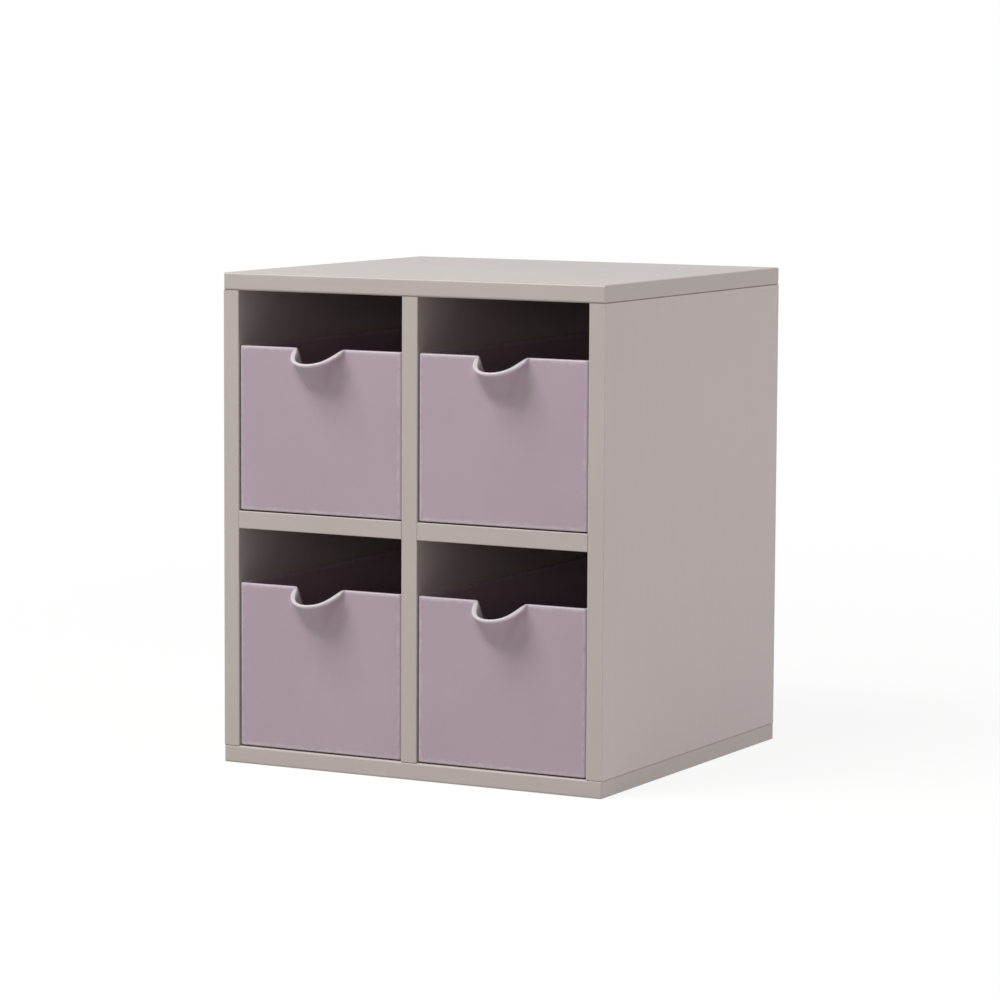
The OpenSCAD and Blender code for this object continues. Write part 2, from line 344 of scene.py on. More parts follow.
def grain_group():
    """Grain that runs along a board: broad streaks, and fine fibres between them."""
    made, tree, given, result = group(
        "Board grain",
        [("Place", "NodeSocketVector", None), ("Repeats", "NodeSocketVector", (300, 300, 12))],
        ["Streaks", "Fibres"])
    stretched = tree.vector("MULTIPLY", given["Place"], given["Repeats"])
    streaks = tree.noise(stretched, 1.0, detail=4.0, roughness=0.55, distortion=0.35)
    fibre_repeats = (4.2, 4.2, 4.2)
    finer = tree.vector("MULTIPLY", stretched, fibre_repeats)
    fibres = tree.noise(finer, 1.0, detail=3.0, roughness=0.6, distortion=0.2)
    tree.feed(result["Streaks"], tree.remap(streaks, 0.32, 0.68, smooth=True))
    tree.feed(result["Fibres"], tree.remap(fibres, 0.35, 0.65))
    return made


def edge_group():
    """How close a point is to an edge of an upright box, broken up a little, from 0 to 1 on the edge."""
    made, tree, given, result = group(
        "Box edges",
        [("Place", "NodeSocketVector", None), ("Low", "NodeSocketVector", (0, 0, 0)),
         ("High", "NodeSocketVector", (1, 1, 1)), ("Width", "NodeSocketFloat", 0.0015)],
        ["Edge"])
    above = tree.vector("SUBTRACT", given["Place"], given["Low"])
    below = tree.vector("SUBTRACT", given["High"], given["Place"])
    nearest = tree.add("ShaderNodeSeparateXYZ", {0: tree.vector("MINIMUM", above, below)}).outputs
    low_pair = tree.math("MINIMUM", nearest[0], nearest[1])
    high_pair = tree.math("MAXIMUM", nearest[0], nearest[1])
    middle = tree.math("MAXIMUM", low_pair, tree.math("MINIMUM", high_pair, nearest[2]))
    rag_scale = 240.0
    rag = tree.noise(given["Place"], rag_scale, detail=4.0, roughness=0.6)
    reach = tree.math("MULTIPLY", given["Width"], tree.remap(rag, 0.3, 0.7, 0.45, 1.5))
    share = tree.math("DIVIDE", middle, reach)
    tree.feed(result["Edge"], tree.remap(share, 0.25, 1.0, 1.0, 0.0, smooth=True))
    return made


def handling_group():
    """Signs of use on any finish: broad soft clouding, and small specks."""
    made, tree, given, result = group(
        "Handling",
        [("Place", "NodeSocketVector", None), ("Cloud size", "NodeSocketFloat", 0.06),
         ("Speck size", "NodeSocketFloat", 0.0012)],
        ["Clouds", "Specks"])
    cloud_scale = tree.math("DIVIDE", 1.0, given["Cloud size"])
    speck_scale = tree.math("DIVIDE", 1.0, given["Speck size"])
    clouds = tree.noise(given["Place"], cloud_scale, detail=4.0, roughness=0.55)
    specks = tree.noise(given["Place"], speck_scale, detail=2.0, roughness=0.5)
    tree.feed(result["Clouds"], tree.remap(clouds, 0.3, 0.7, smooth=True))
    tree.feed(result["Specks"], tree.remap(specks, 0.35, 0.65, smooth=True))
    return made


def shared(name):
    """One of the shared node groups, made the first time that it is asked for."""
    makers = {"Board grain": grain_group, "Box edges": edge_group, "Handling": handling_group}
    return bpy.data.node_groups.get(name) or makers[name]()


def use_group(tree, name, inputs):
    return tree.add("ShaderNodeGroup", inputs, node_tree=shared(name)).outputs


def new_finish(name):
    """An empty material, its Tree, and the Object coordinates that its patterns follow."""
    material = bpy.data.materials.new(name)
    material.use_nodes = True
    tree = Tree(material.node_tree)
    return material, tree, tree.place()


def end_finish(tree, colour, roughness, height, height_scale, fixed):
    """The shader itself: colour, roughness and bump come from nodes, and fixed values sit on its
    own sockets."""
    bump = tree.add("ShaderNodeBump", {"Height": height, "Strength": 1.0, "Distance": height_scale})
    shader = tree.add("ShaderNodeBsdfPrincipled", {
        "Base Color": colour, "Roughness": roughness, "Normal": bump.outputs[0], **fixed})
    tree.add("ShaderNodeOutputMaterial", {"Surface": shader.outputs[0]})


def wood_repeats(along, width, length):
    """How often the grain repeats in each direction, for a board whose grain runs along an axis."""
    return tuple(1 / (length if axis == along else width) for axis in "XYZ")


def painted_board(node, along):
    """Greige paint over faint grain, a little darker on the ends of this board, where the wood drinks
    the paint, and paler along its edges, partly as rubbed wear and partly as a painted highlight."""
    look = settings().boards
    cloud_depth, least_rough, fibre_rough, cloud_rough = 0.12, look.roughness - 0.04, 0.06, 0.05
    end_soft, end_full = 0.6 * MM, 0.1 * MM
    relief, streak_relief, fibre_relief, speck_relief = 0.03 * MM, 0.5, 0.3, 0.2
    low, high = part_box(node)
    material, tree, place = new_finish(f"painted_wood_{node}")
    # Each board takes its grain from a different place in the same pattern
    own_place = (low.x * 3 + high.z, low.z * 2 - high.y, high.x * 5)
    shift = tree.vector("ADD", place, own_place)
    grain = use_group(tree, "Board grain", {
        "Place": shift, "Repeats": wood_repeats(along, look.streak_width, look.streak_length)})
    edge = use_group(tree, "Box edges", {
        "Place": place, "Low": low, "High": high, "Width": look.edge_width})["Edge"]
    use = use_group(tree, "Handling", {"Place": shift})
    colour = tree.blend(tree.part(grain["Streaks"], look.streak_depth), look.paint, look.shadowed)
    colour = tree.blend(tree.part(use["Clouds"], cloud_depth), colour, look.rubbed)
    # Edges painted paler: partly wear, partly a painted highlight where light catches the eased edges
    colour = tree.blend(tree.part(edge, look.edge_wear_and_highlight), colour, look.rubbed)
    axis = "XYZ".index(along)
    half, middle = (high[axis] - low[axis]) / 2, (high[axis] + low[axis]) / 2
    away = tree.math("SUBTRACT", tree.add("ShaderNodeSeparateXYZ", {0: place}).outputs[axis], middle)
    end = tree.remap(tree.math("ABSOLUTE", away), half - end_soft, half - end_full, smooth=True)
    colour = tree.blend(tree.part(end, look.end_depth), colour, look.shadowed)
    rough = tree.math("ADD", tree.part(grain["Fibres"], fibre_rough), least_rough)
    rough = tree.math("ADD", rough, tree.part(use["Clouds"], cloud_rough))
    height = tree.math("ADD", tree.part(grain["Streaks"], streak_relief),
                       tree.part(grain["Fibres"], fibre_relief))
    height = tree.math("ADD", height, tree.part(use["Specks"], speck_relief))
    end_finish(tree, colour, rough, height, relief, {"IOR": PAINT_IOR})
    return material


def painted_back():
    """Thin painted hardboard: pressed fibres, and a flatter paint than on the boards."""
    look = settings().boards
    cloud_depth, speck_depth, fibre_scale = 0.35, 0.12, 900.0
    relief, fibre_relief, speck_relief = 0.12 * MM, 0.7, 0.5
    material, tree, place = new_finish("painted_hardboard")
    use = use_group(tree, "Handling", {"Place": place, "Cloud size": 0.09, "Speck size": 0.0007})
    fibre = tree.add("ShaderNodeTexVoronoi", {"Vector": place, "Scale": fibre_scale, "Randomness": 1.0},
                     feature="SMOOTH_F1").outputs["Distance"]
    colour = tree.blend(tree.part(use["Clouds"], cloud_depth), look.back_paint, look.shadowed)
    colour = tree.blend(tree.part(use["Specks"], speck_depth), colour, look.rubbed)
    rough = tree.remap(use["Specks"], 0, 1, 0.6, 0.72)
    height = tree.math("ADD", tree.part(fibre, fibre_relief), tree.part(use["Specks"], speck_relief))
    end_finish(tree, colour, rough, height, relief, {"IOR": WOOD_IOR})
    return material


def beech(along):
    """Bare beech with fine long grain and short dark flecks."""
    look = settings().boards
    fleck_width, fleck_length, fleck_depth, relief = 0.9 * MM, 22 * MM, 0.5, 0.05 * MM
    material, tree, place = new_finish(f"dowel_wood_{along.lower()}")
    grain = use_group(tree, "Board grain", {
        "Place": place, "Repeats": wood_repeats(along, fleck_width, fleck_length)})
    fleck = [value * 0.72 for value in look.dowel_wood]
    colour = tree.blend(tree.part(grain["Streaks"], fleck_depth), look.dowel_wood, fleck)
    rough = tree.remap(grain["Fibres"], 0, 1, 0.55, 0.68)
    end_finish(tree, colour, rough, grain["Fibres"], relief, {"IOR": WOOD_IOR})
    return material


def moulded_plastic(name, low, high, slant):
    """Satin lilac plastic with a fine moulded texture, a pale painted highlight on the rim and the
    pull's lip, and the other edges of the box between two corners a little paler, as wear and painted
    highlight.
    In front of the drawer, the depth below the rim is measured from the lip, which slants down."""
    look = settings().plastic
    cloud_depth, lip_start, relief = 0.5, 5 * MM, 0.02 * MM
    least_rough, cloud_rough, rim_smooth = look.roughness - 0.04, 0.08, 0.06
    # How far down the rim's painted highlight runs
    rim_full, rim_end = look.rim_highlight_width * 0.4, look.rim_highlight_width * 1.4
    material, tree, place = new_finish(name)
    use = use_group(tree, "Handling", {"Place": place, "Cloud size": 0.075, "Speck size": look.texture})
    edge = use_group(tree, "Box edges", {
        "Place": place, "Low": low, "High": high, "Width": look.edge_width})["Edge"]
    where = tree.add("ShaderNodeSeparateXYZ", {0: place})
    out = tree.math("MAXIMUM", tree.math("SUBTRACT", low.y, where.outputs[1]), 0.0)
    depth = tree.math("SUBTRACT", high.z, where.outputs[2])
    depth = tree.math("SUBTRACT", depth, tree.part(out, slant))
    # Painted highlight: the rim, and far more the pull's lip, painted pale where light from above
    # catches them
    rim = tree.remap(depth, rim_full, rim_end, 1.0, 0.0, smooth=True)
    wear = tree.remap(out, 0, lip_start, look.rim_highlight, look.lip_highlight, smooth=True)
    colour = tree.blend(tree.part(use["Clouds"], cloud_depth), look.plastic, look.deep)
    # Box edges painted paler: partly wear, partly a painted highlight
    colour = tree.blend(tree.part(edge, look.edge_wear_and_highlight), colour, look.pale)
    colour = tree.blend(tree.part(rim, wear), colour, look.pale)
    rough = tree.math("ADD", tree.part(use["Clouds"], cloud_rough), least_rough)
    rough = tree.math("SUBTRACT", rough, tree.part(rim, rim_smooth))
    end_finish(tree, colour, rough, use["Specks"], relief, {"IOR": PLASTIC_IOR})
    return material


def zinc_steel():
    """Zinc-coated steel, brushed by the driver round each head."""
    look = settings().screws
    material, tree, place = new_finish("screw_steel")
    use = use_group(tree, "Handling", {"Place": place, "Cloud size": 0.004, "Speck size": 0.0004})
    dull = [value * 0.7 for value in look.steel]
    dull_depth, relief = 0.6, 0.01 * MM
    colour = tree.blend(tree.part(use["Clouds"], dull_depth), look.steel, dull)
    rough = tree.remap(use["Clouds"], 0, 1, 0.28, 0.44)
    end_finish(tree, colour, rough, use["Specks"], relief, {"Metallic": 1.0})
    return material


def dress(node, material):
    """Give a node of the frame a finish and leave its shape alone."""
    for slot in frame["nodes"][node].material_slots:
        slot.material = material


# ---- modelling by hand ----

def start_piece(add, **options):
    """Deselect everything, add a primitive, and go into edit mode on it."""
    bpy.ops.object.select_all(action="DESELECT")
    add(**options)
    bpy.ops.object.mode_set(mode="EDIT")
    return bpy.context.active_object


def settle(piece):
    """Leave edit mode and move the object's place into its mesh."""
    bpy.ops.object.mode_set(mode="OBJECT")
    bpy.ops.object.transform_apply(location=True, rotation=True, scale=True)
    return piece


def select_where(piece, mode, test):
    """Select the vertices, edges or faces of a piece in edit mode that pass a test."""
    bpy.ops.mesh.select_mode(type=mode)
    bpy.ops.mesh.select_all(action="DESELECT")
    mesh = bmesh.from_edit_mesh(piece.data)
    for part in {"VERT": mesh.verts, "EDGE": mesh.edges, "FACE": mesh.faces}[mode]:
        part.select = test(part)
    mesh.select_flush_mode()
    bmesh.update_edit_mesh(piece.data)


def smooth(piece, angle):
    """Shade a piece smooth where its faces meet at less than an angle in degrees."""
    bpy.ops.object.select_all(action="DESELECT")
    piece.select_set(True)
    bpy.context.view_layer.objects.active = piece
    bpy.ops.object.shade_smooth_by_angle(angle=math.radians(angle))


def join(pieces, name):
    """Join pieces into the first of them, under a new name."""
    bpy.ops.object.select_all(action="DESELECT")
    for piece in pieces:
        piece.select_set(True)
    bpy.context.view_layer.objects.active = pieces[0]
    bpy.ops.object.join()
    pieces[0].name = name
    pieces[0].data.name = name
    return pieces[0]


def copy_of(piece, name, offset):
    """A copy with its own mesh, moved by an offset that goes into the mesh."""
    made = piece.copy()
    made.data = piece.data.copy()
    made.name = name
    made.data.name = name
    made.data.transform(Matrix.Translation(offset))
    bpy.context.collection.objects.link(made)
    return made


def soft_floor(value, least, blend):
    """The larger of two values, with the corner between them rounded within the blend."""
    gap = value - least
    if abs(gap) >= blend:
        return max(value, least)
    return least + (gap + blend) ** 2 / (4 * blend)


def eased(share):
    """A share of 0 to 1 that starts and ends softly."""
    share = min(1.0, max(0.0, share))
    return share * share * (3 - 2 * share)


class DrawerLoft:
    """Places every point of a drawer: columns go round its outline, and rows go up the outside,
    over the rim and down the inside. Depth is measured down from the rim, inset from the outside."""

    FLAT_COLUMNS = 6
    CREASE_COLUMNS = 12
    CROWN_COLUMNS = 36
    CORNER_COLUMNS = 7
    PULL_ROWS = 26
    EDGE_ROWS = 4
    BEND_ROWS = 5
    LIP_HALVINGS = 24

    LEAST_SPREAD = 7 * MM       # half the width that the pull's columns keep below its tip
    SPREAD_BLEND = 2 * MM       # how softly they narrow to it
    OUTER_BLEND = 0.1 * MM      # how softly the pull runs out at its tip, outside and inside
    INNER_BLEND = 0.6 * MM
    OUTER_FADE = 0.5 * MM       # half width below which the outside of the pull flattens
    LEAST_RADIUS = 0.3 * MM     # of an upright corner, far inside the wall
    STRAIGHT_WALL = 0.8 * MM    # kept between a bend and the next row
    CLEAR_OF_TIP = 1.02         # where the plain wall starts, in pull depths; the blend is added
    CREASE_GROWTH = 0.5         # share of the pull's depth over which its fillet grows
    LIP_REACH = 1.2             # how deep the lip is looked for, in dips

    def __init__(self, shape, low, high, front):
        self.shape = shape
        self.left, self.right = low.x, high.x
        self.front, self.back = front, high.y
        self.rim = high.z
        self.middle = (low.x + high.x) / 2
        self.height = high.z - low.z - shape.rib_height
        self.slant = shape.pull_dip / shape.pull_reach
        self.furthest = shape.pull_reach / self.shrink(shape.pull_dip)
        self.side_lean = math.cos(math.atan(shape.pull_half_width / shape.pull_depth))
        self.front_lean = math.cos(math.atan(self.furthest / shape.pull_depth))
        self.below_pull = shape.pull_depth * (self.CLEAR_OF_TIP + shape.tip_blend)

    def shrink(self, depth):
        """What is left, at a depth, of the pull's size at the rim: it runs out softly at the tip."""
        return soft_floor(1 - depth / self.shape.pull_depth, 0, self.shape.tip_blend)

    def columns(self):
        """The stations round the outline, as (kind, side, share), from the front's left end."""
        flat = [index / self.FLAT_COLUMNS for index in range(self.FLAT_COLUMNS)]
        crease = [index / self.CREASE_COLUMNS for index in range(self.CREASE_COLUMNS)]
        front = [("flat", -1, 1 - share) for share in flat]
        front += [("crease", -1, share) for share in crease]
        front += [("crown", 0, index / self.CROWN_COLUMNS) for index in range(self.CROWN_COLUMNS)]
        front += [("crease", 1, 1 - share) for share in crease]
        front += [("flat", 1, share) for share in flat]
        turn = [index / self.CORNER_COLUMNS for index in range(self.CORNER_COLUMNS + 1)]
        corners = [("corner", quarter, share) for quarter in (0, 1, 2, 3) for share in turn]
        return front + corners

    def corner_point(self, quarter, share, inset):
        """A point on an upright corner: quarters go right front, right back, left back, left front."""
        radius = max(self.shape.corner - inset, self.LEAST_RADIUS)
        middle_x = (self.right - inset - radius) if quarter in (0, 1) else (self.left + inset + radius)
        middle_y = (self.front + inset + radius) if quarter in (0, 3) else (self.back - inset - radius)
        angle = math.radians(90) * (quarter - 1 + share)
        return middle_x + radius * math.cos(angle), middle_y + radius * math.sin(angle)

    def front_point(self, kind, side, share, depth, inset):
        """A point on the front, where the pull swells out of the flat wall: half an ellipse with a
        fillet on each side. It's worked out as a half circle and then stretched to the front."""
        shape = self.shape
        shrink = self.shrink(depth)
        blend = self.INNER_BLEND if inset else self.OUTER_BLEND
        width = shape.pull_half_width * shrink ** shape.taper
        round_ = soft_floor(width - inset / self.side_lean, 0, blend)
        reach = soft_floor(self.furthest * shrink - inset / self.front_lean, 0, blend)
        stretch = (reach + inset) / (round_ + inset) if round_ else 1.0
        growth = eased(depth / (self.CREASE_GROWTH * shape.pull_depth))
        crease = shape.crease + inset + (shape.low_crease - shape.crease) * growth
        half = math.sqrt((round_ + crease) ** 2 - (crease - inset) ** 2)
        start = math.atan2(crease - inset, half)
        tuck = shape.tuck * (inset / shape.wall) ** 2 * min(1.0, depth / shape.pull_dip)
        spread = soft_floor(half * (1 - tuck), self.LEAST_SPREAD, self.SPREAD_BLEND)
        if kind == "flat":
            end = (self.right - self.left) / 2 - max(shape.corner, inset + self.LEAST_RADIUS)
            return self.middle + side * (spread + (end - spread) * share), self.front + inset
        if kind == "crown":
            angle = math.pi - start - (math.pi - 2 * start) * share
            across, out = round_ * math.cos(angle), round_ * math.sin(angle)
        else:
            angle = math.radians(-90) - (math.radians(90) - start) * share
            across = side * (half + crease * math.cos(angle))
            out = crease - inset + crease * math.sin(angle)
        fade = eased(round_ / (2 * inset if inset else self.OUTER_FADE))
        rise = (out + inset) / (round_ + inset)
        out = (out + inset) * stretch * fade - inset
        across *= spread / half * (1 + rise * tuck / (1 - tuck))
        return self.middle + across, self.front - out

    def lip_depth(self, kind, side, share, inset):
        """Depth of the slanted lip where it crosses a column: the span it lies in is halved
        until it is found."""
        if kind not in ("crease", "crown"):
            return 0.0
        above, below = 0.0, self.shape.pull_dip * self.LIP_REACH
        for _ in range(self.LIP_HALVINGS):
            depth = (above + below) / 2
            out = self.front - self.front_point(kind, side, share, depth, inset)[1]
            if self.slant * out > depth:
                above = depth
            else:
                below = depth
        return above

    def rows(self):
        """The rows as (reference, value, inset). The value is a depth below the rim or below the lip,
        or, for a row of the pull, its share of the way from the lip to the plain wall below."""
        shape, wall = self.shape, self.shape.wall
        quarter = [math.radians(90) * index / self.BEND_ROWS for index in range(self.BEND_ROWS + 1)]
        outer = [(self.height - shape.bend * (1 - math.cos(turn)), shape.bend * (1 - math.sin(turn)))
                 for turn in quarter]
        rows = [("plain", depth, inset) for depth, inset in outer]
        rows.append(("plain", self.height - shape.bend - self.STRAIGHT_WALL, 0))
        rows.append(("plain", (self.height + self.below_pull) / 2, 0))
        down = [1 - index / self.PULL_ROWS for index in range(self.PULL_ROWS)]
        rows += [("pull", share, 0) for share in down]
        turns = [math.radians(90) * index / self.EDGE_ROWS for index in range(self.EDGE_ROWS + 1)]
        outer, inner = shape.rim_round, shape.rim_inner_round
        rows += [("lip", outer * (1 - math.sin(turn)), outer * (1 - math.cos(turn))) for turn in turns]
        rows += [("lip", inner * (1 - math.cos(turn)), wall - inner * (1 - math.sin(turn)))
                 for turn in turns]
        rows += [("pull", share, wall) for share in reversed(down)]
        rows.append(("plain", (self.height + self.below_pull) / 2, wall))
        floor_top = self.height - shape.floor
        rows.append(("plain", floor_top - shape.inner_bend - self.STRAIGHT_WALL, wall))
        for turn in quarter:
            rows.append(("plain", floor_top - shape.inner_bend * (1 - math.sin(turn)),
                         wall + shape.inner_bend * (1 - math.cos(turn))))
        return rows

    def point(self, column, row):
        kind, side, share = column
        reference, value, inset = row
        lip = self.lip_depth(kind, side, share, inset)
        if reference == "plain":
            depth = value
        elif reference == "lip":
            depth = lip + value
        else:
            top = lip + (self.shape.rim_inner_round if inset else self.shape.rim_round)
            depth = top + (self.below_pull - top) * value
        if kind == "corner":
            across, along = self.corner_point(side, share, inset)
        else:
            across, along = self.front_point(kind, side, share, depth, inset)
        return across, along, self.rim - depth


def loft_drawer(loft, name):
    """Model a drawer from one ring of points that is extruded row by row, then closed at both ends."""
    columns, rows = loft.columns(), loft.rows()
    piece = start_piece(bpy.ops.mesh.primitive_circle_add, vertices=len(columns), radius=0.05)
    mesh = bmesh.from_edit_mesh(piece.data)
    column_of = mesh.verts.layers.int.new("column")
    for index, vertex in enumerate(mesh.verts):
        vertex[column_of] = index
        vertex.co = loft.point(columns[index], rows[0])
    bmesh.update_edit_mesh(piece.data)
    bpy.ops.mesh.select_mode(type="EDGE")
    bpy.ops.mesh.select_all(action="SELECT")
    for row in rows[1:]:
        bpy.ops.mesh.extrude_region_move()
        mesh = bmesh.from_edit_mesh(piece.data)
        column_of = mesh.verts.layers.int["column"]
        for vertex in mesh.verts:
            if vertex.select:
                vertex.co = loft.point(columns[vertex[column_of]], row)
        bmesh.update_edit_mesh(piece.data)
    bpy.ops.mesh.edge_face_add()
    select_where(piece, "EDGE", lambda edge: edge.is_boundary)
    bpy.ops.mesh.edge_face_add()
    bpy.ops.mesh.select_all(action="SELECT")
    bpy.ops.mesh.normals_make_consistent(inside=False)
    settle(piece)
    piece.data.attributes.remove(piece.data.attributes["column"])
    piece.name = name
    return piece


def runner_rib(shape, x, low, high):
    """A low rib with round ends: a short cylinder whose back half is drawn out along the drawer."""
    radius, end_room = shape.rib_width / 2, shape.rib_width * 2
    ease, hair = 0.2 * MM, 0.001 * MM
    near, far = low.y + end_room, high.y - end_room
    piece = start_piece(
        bpy.ops.mesh.primitive_cylinder_add, vertices=32, radius=radius, depth=shape.rib_height,
        location=(x, near, low.z + shape.rib_height / 2))
    select_where(piece, "VERT", lambda vertex: vertex.co.y > hair)
    bpy.ops.transform.translate(value=(0, far - near, 0))
    select_where(piece, "FACE", lambda face: face.normal.z < -FACING)
    bpy.ops.mesh.bevel(offset=ease, segments=3, affect="EDGES")
    return settle(piece)


def back_screw(shape):
    """One countersunk screw along -Y with its head's face at the origin and a cross recess."""
    piece = start_piece(
        bpy.ops.mesh.primitive_cylinder_add, vertices=40, radius=shape.shank / 2,
        depth=shape.length, location=(0, -shape.length / 2, 0), rotation=(math.radians(90), 0, 0))
    settle(piece)
    bpy.ops.object.mode_set(mode="EDIT")
    cone = (shape.head - shape.shank) / 2
    land, room, ring = 0.25 * MM, 0.1 * MM, 0.12 * MM
    select_where(piece, "FACE", lambda face: face.normal.y > FACING)
    bpy.ops.transform.translate(value=(0, -cone, 0))
    bpy.ops.mesh.extrude_region_move(TRANSFORM_OT_translate={"value": (0, cone - land, 0)})
    scale = (shape.head - room) / shape.shank
    bpy.ops.transform.resize(value=(scale, 1, scale), center_override=(0, 0, 0))
    bpy.ops.mesh.extrude_region_move(TRANSFORM_OT_translate={"value": (0, land, 0)})
    bpy.ops.mesh.inset(thickness=ring)
    settle(piece)
    cut_cross(piece, shape)
    return piece


def cut_cross(piece, shape):
    """Cut a tapered cross recess into the head with two crossing wedges."""
    depth, above_head, tip_share = 1.5 * MM, 0.4 * MM, 0.55
    for turn in (0, 90):
        bpy.ops.object.select_all(action="DESELECT")
        bpy.ops.mesh.primitive_cube_add(
            size=1, location=(0, (above_head - depth) / 2, 0), rotation=(0, math.radians(turn), 0),
            scale=(shape.cross, depth + above_head, shape.slot))
        wedge = bpy.context.active_object
        bpy.ops.object.transform_apply(location=True, rotation=True, scale=True)
        bpy.ops.object.mode_set(mode="EDIT")
        select_where(wedge, "FACE", lambda face: face.normal.y < -FACING)
        bpy.ops.transform.resize(value=(tip_share, 1, tip_share), center_override=(0, -depth, 0))
        bpy.ops.object.mode_set(mode="OBJECT")
        cut = piece.modifiers.new("Cross", "BOOLEAN")
        cut.operation = "DIFFERENCE"
        cut.solver = "EXACT"
        cut.object = wedge
        bpy.ops.object.select_all(action="DESELECT")
        bpy.context.view_layer.objects.active = piece
        piece.select_set(True)
        bpy.ops.object.modifier_apply(modifier=cut.name)
        bpy.data.objects.remove(wedge)


# ---- one operator for each kind of piece ----

class DressBoards(bpy.types.Operator):
    """Paint the seven boards, each with its own grain and its own rubbed edges"""
    bl_idname = "mini_drawers.dress_boards"
    bl_label = "Painted boards"

    def execute(self, context):
        for node, along in BOARDS.items():
            dress(node, painted_board(node, along))
        return {"FINISHED"}


class DressBack(bpy.types.Operator):
    """Paint the thin back panel"""
    bl_idname = "mini_drawers.dress_back"
    bl_label = "Back panel"

    def execute(self, context):
        dress("back_panel", painted_back())
        return {"FINISHED"}


class DressDowels(bpy.types.Operator):
    """Give the dowels inside the joints their bare beech"""
    bl_idname = "mini_drawers.dress_dowels"
    bl_label = "Dowels"

    def execute(self, context):
        woods = {along: beech(along) for along in sorted(set(DOWELS.values()))}
        for node, along in DOWELS.items():
            dress(node, woods[along])
        return {"FINISHED"}


class BuildScrews(bpy.types.Operator):
    """Model one countersunk screw and set a copy at each hole of the back panel"""
    bl_idname = "mini_drawers.build_screws"
    bl_label = "Back screws"

    def execute(self, context):
        screw = back_screw(settings().screws)
        screws = [copy_of(screw, "back_screw", spot) for spot in screw_places()]
        bpy.data.objects.remove(screw)
        piece = join(screws, "back_screws_dressed")
        smooth(piece, 30)
        piece.data.materials.append(zinc_steel())
        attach(piece, "cabinet")
        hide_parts("back_panel_screws")
        return {"FINISHED"}


def screw_places():
    """The middles of the screw heads, from the corners of their node that lie furthest back: corners
    closer together than two heads are wide belong to one head."""
    node = frame["nodes"]["back_panel_screws"]
    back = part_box("back_panel_screws")[1].y
    level, apart = 0.01 * MM, 2 * settings().screws.head
    heads = []
    for vertex in node.data.vertices:
        if abs(vertex.co.y - back) < level:
            near = [head for head in heads if (head[0] - vertex.co).length < apart]
            if near:
                near[0].append(vertex.co)
            else:
                heads.append([vertex.co])
    return [Vector([(min(values) + max(values)) / 2 for values in zip(*head)]) for head in heads]


class BuildDrawers(bpy.types.Operator):
    """Loft one drawer with its drawn-out pull, and set a copy in each bay"""
    bl_idname = "mini_drawers.build_drawers"
    bl_label = "Drawers"

    def execute(self, context):
        shape = settings().drawer
        first = DRAWERS[0]
        low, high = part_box(first)
        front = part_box("left_side_panel")[0].y + shape.set_back
        model = loft_drawer(DrawerLoft(shape, low, high, front), "drawer_model")
        low.y = front
        ribs = [runner_rib(shape, x, low, high)
                for x in (low.x + shape.rib_inset, high.x - shape.rib_inset)]
        model = join([model, *ribs], "drawer_model")
        smooth(model, 50)
        for node in DRAWERS:
            corner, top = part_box(node)
            piece = copy_of(model, f"{node}_bin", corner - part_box(first)[0])
            piece.data.materials.clear()
            foot = Vector((corner.x, front, corner.z + shape.rib_height))
            piece.data.materials.append(moulded_plastic(
                f"drawer_plastic_{node}", foot, top, shape.pull_dip / shape.pull_reach))
            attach(piece, frame["nodes"][node]["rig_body"])
            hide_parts(node)
        bpy.data.objects.remove(model)
        return {"FINISHED"}


class SetStage(bpy.types.Operator):
    """Set the camera, the pale floor, the room light and the three lamps"""
    bl_idname = "mini_drawers.set_stage"
    bl_label = "Stage"

    def execute(self, context):
        look = settings().stage
        middle = (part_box("bottom_panel")[0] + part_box("top_panel")[1]) / 2
        add_camera(look, middle)
        add_floor(look)
        add_room_light(look)
        for name, place, size, tint, setting in LAMPS:
            add_lamp(name, place, middle, size, tint, getattr(look, setting))
        context.scene.view_settings.view_transform = "Standard"
        return {"FINISHED"}


def add_camera(look, middle):
    sensor_width, furthest_seen = 36, 50
    back = Vector((math.sin(look.yaw) * math.cos(look.pitch),
                   -math.cos(look.yaw) * math.cos(look.pitch), math.sin(look.pitch)))
    right = Vector((math.cos(look.yaw), math.sin(look.yaw), 0))
    up = back.cross(right)
    leaned_right = right * math.cos(look.roll) + up * math.sin(look.roll)
    leaned_up = up * math.cos(look.roll) - right * math.sin(look.roll)
    target = middle + right * look.aim_right + up * look.aim_up
    bpy.ops.object.camera_add(location=(0, 0, 0))
    camera = bpy.context.active_object
    camera.name = "camera"
    turn = Matrix((leaned_right, leaned_up, back)).transposed().to_4x4()
    camera.matrix_world = Matrix.Translation(target + back * look.distance) @ turn
    camera.data.lens = look.lens
    camera.data.sensor_width = sensor_width
    camera.data.clip_end = furthest_seen
    bpy.context.scene.camera = camera


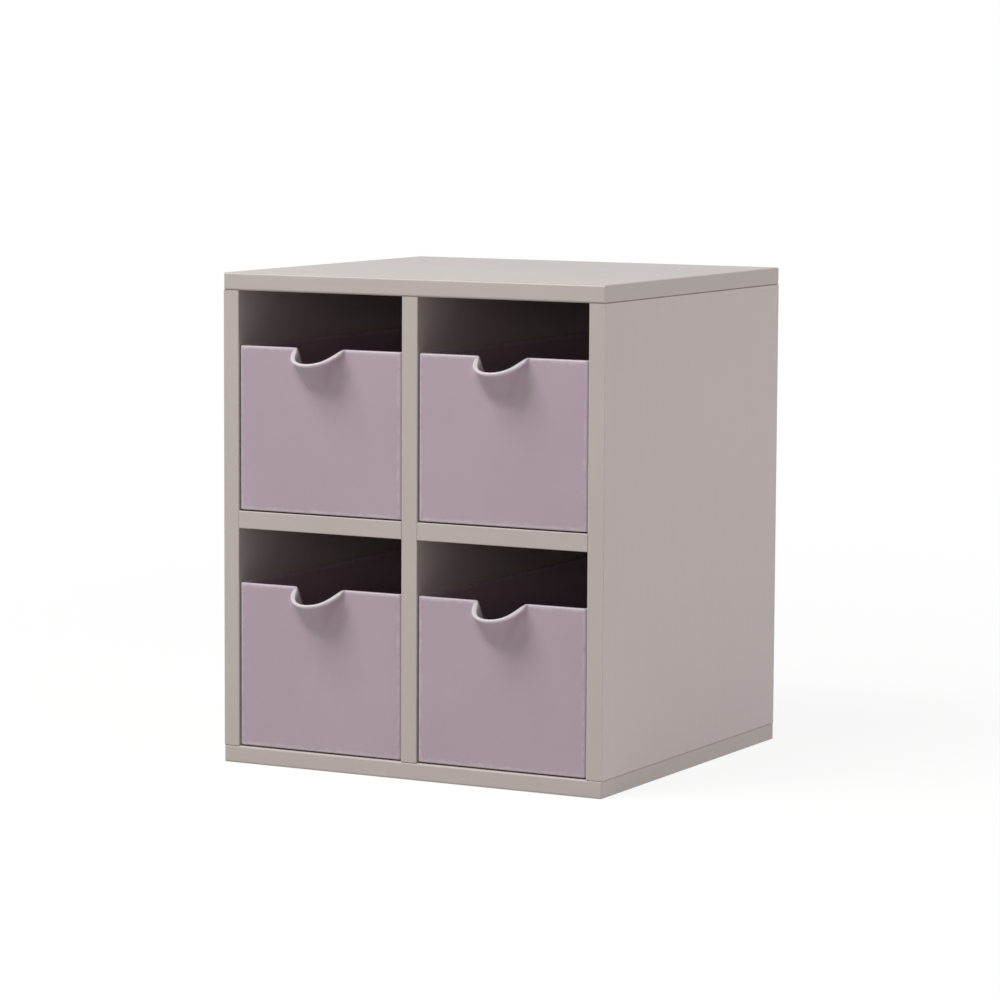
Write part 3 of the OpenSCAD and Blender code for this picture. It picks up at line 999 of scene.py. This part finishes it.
def add_floor(look):
    """A wide pale floor that shows nearly white and still takes the cabinet's shadow."""
    size, near, far, near_white = 14, 0.5, 1.8, 1.17
    bpy.ops.object.select_all(action="DESELECT")
    bpy.ops.mesh.primitive_plane_add(size=size, location=(0, 0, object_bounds()[0].z))
    floor = bpy.context.active_object
    floor.name = "floor"
    bpy.ops.object.transform_apply(location=True, rotation=True, scale=True)
    material, tree, place = new_finish("pale_floor")
    distance = tree.add("ShaderNodeVectorMath", {0: place}, operation="LENGTH").outputs["Value"]
    away = tree.remap(distance, near, far, smooth=True)
    shaded = tree.add("ShaderNodeBsdfDiffuse", {"Color": (*look.floor, 1)}).outputs[0]
    strength = tree.remap(away, 0, 1, near_white, 1.0)
    white = tree.add("ShaderNodeEmission", {"Color": (1, 1, 1, 1), "Strength": strength}).outputs[0]
    path = tree.add("ShaderNodeLightPath").outputs
    seen = tree.math("MAXIMUM", path["Is Camera Ray"], path["Is Glossy Ray"])
    seen = tree.math("MAXIMUM", seen, path["Is Transmission Ray"])
    share = tree.part(seen, tree.remap(away, 0, 1, look.floor_white, 1.0))
    mixed = tree.add("ShaderNodeMixShader", {0: share, 1: shaded, 2: white}).outputs[0]
    tree.add("ShaderNodeOutputMaterial", {"Surface": mixed})
    floor.data.materials.append(material)
    floor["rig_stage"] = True


def add_room_light(look):
    """Even light from all round, which shows as plain white behind the cabinet and in its gloss."""
    world = bpy.data.worlds.new("room")
    world.use_nodes = True
    tree = Tree(world.node_tree)
    path = tree.add("ShaderNodeLightPath").outputs
    seen = tree.math("MAXIMUM", path["Is Camera Ray"], path["Is Transmission Ray"])
    strength = tree.remap(path["Is Glossy Ray"], 0, 1, look.world, look.gloss_room)
    strength = tree.blend_numbers(seen, strength, 1.0)
    light = tree.add("ShaderNodeBackground", {"Color": (1, 1, 1, 1), "Strength": strength})
    tree.add("ShaderNodeOutputWorld", {"Surface": light.outputs[0]})
    bpy.context.scene.world = world


def add_lamp(name, place, target, size, tint, power):
    bpy.ops.object.light_add(type="AREA", location=place)
    lamp = bpy.context.active_object
    lamp.name = name
    lamp.data.size = size
    lamp.data.color = tint
    lamp.data.energy = power
    lamp.rotation_euler = (target - Vector(place)).to_track_quat("-Z", "Y").to_euler()


class MiniDrawersPanel(bpy.types.Panel):
    """Lists the pieces of the cabinet and the sizes and colours that they use"""
    bl_idname = "VIEW3D_PT_mini_drawers"
    bl_label = "Mini Drawers"
    bl_space_type = "VIEW_3D"
    bl_region_type = "UI"
    bl_category = "Mini Drawers"

    def draw(self, context):
        for part in ("boards", "drawer", "plastic", "screws", "stage"):
            values = getattr(context.scene.mini_drawers, part)
            box = self.layout.box()
            for name in values.__annotations__:
                box.prop(values, name)
        for operator in OPERATORS:
            self.layout.operator(operator.bl_idname)


GROUPS = (BoardFinish, DrawerShape, DrawerFinish, ScrewShape, StageSettings, MiniDrawersSettings)
OPERATORS = (DressBoards, DressBack, DressDowels, BuildScrews, BuildDrawers, SetStage)


def register():
    for kind in (*GROUPS, *OPERATORS, MiniDrawersPanel):
        bpy.utils.register_class(kind)
    bpy.types.Scene.mini_drawers = bpy.props.PointerProperty(type=MiniDrawersSettings)


def unregister():
    del bpy.types.Scene.mini_drawers
    for kind in reversed((*GROUPS, *OPERATORS, MiniDrawersPanel)):
        bpy.utils.unregister_class(kind)


def main():
    register()
    bpy.ops.mini_drawers.dress_boards()
    bpy.ops.mini_drawers.dress_back()
    bpy.ops.mini_drawers.dress_dowels()
    bpy.ops.mini_drawers.build_screws()
    bpy.ops.mini_drawers.build_drawers()
    bpy.ops.mini_drawers.set_stage()


if __name__ == "__main__":
    main()
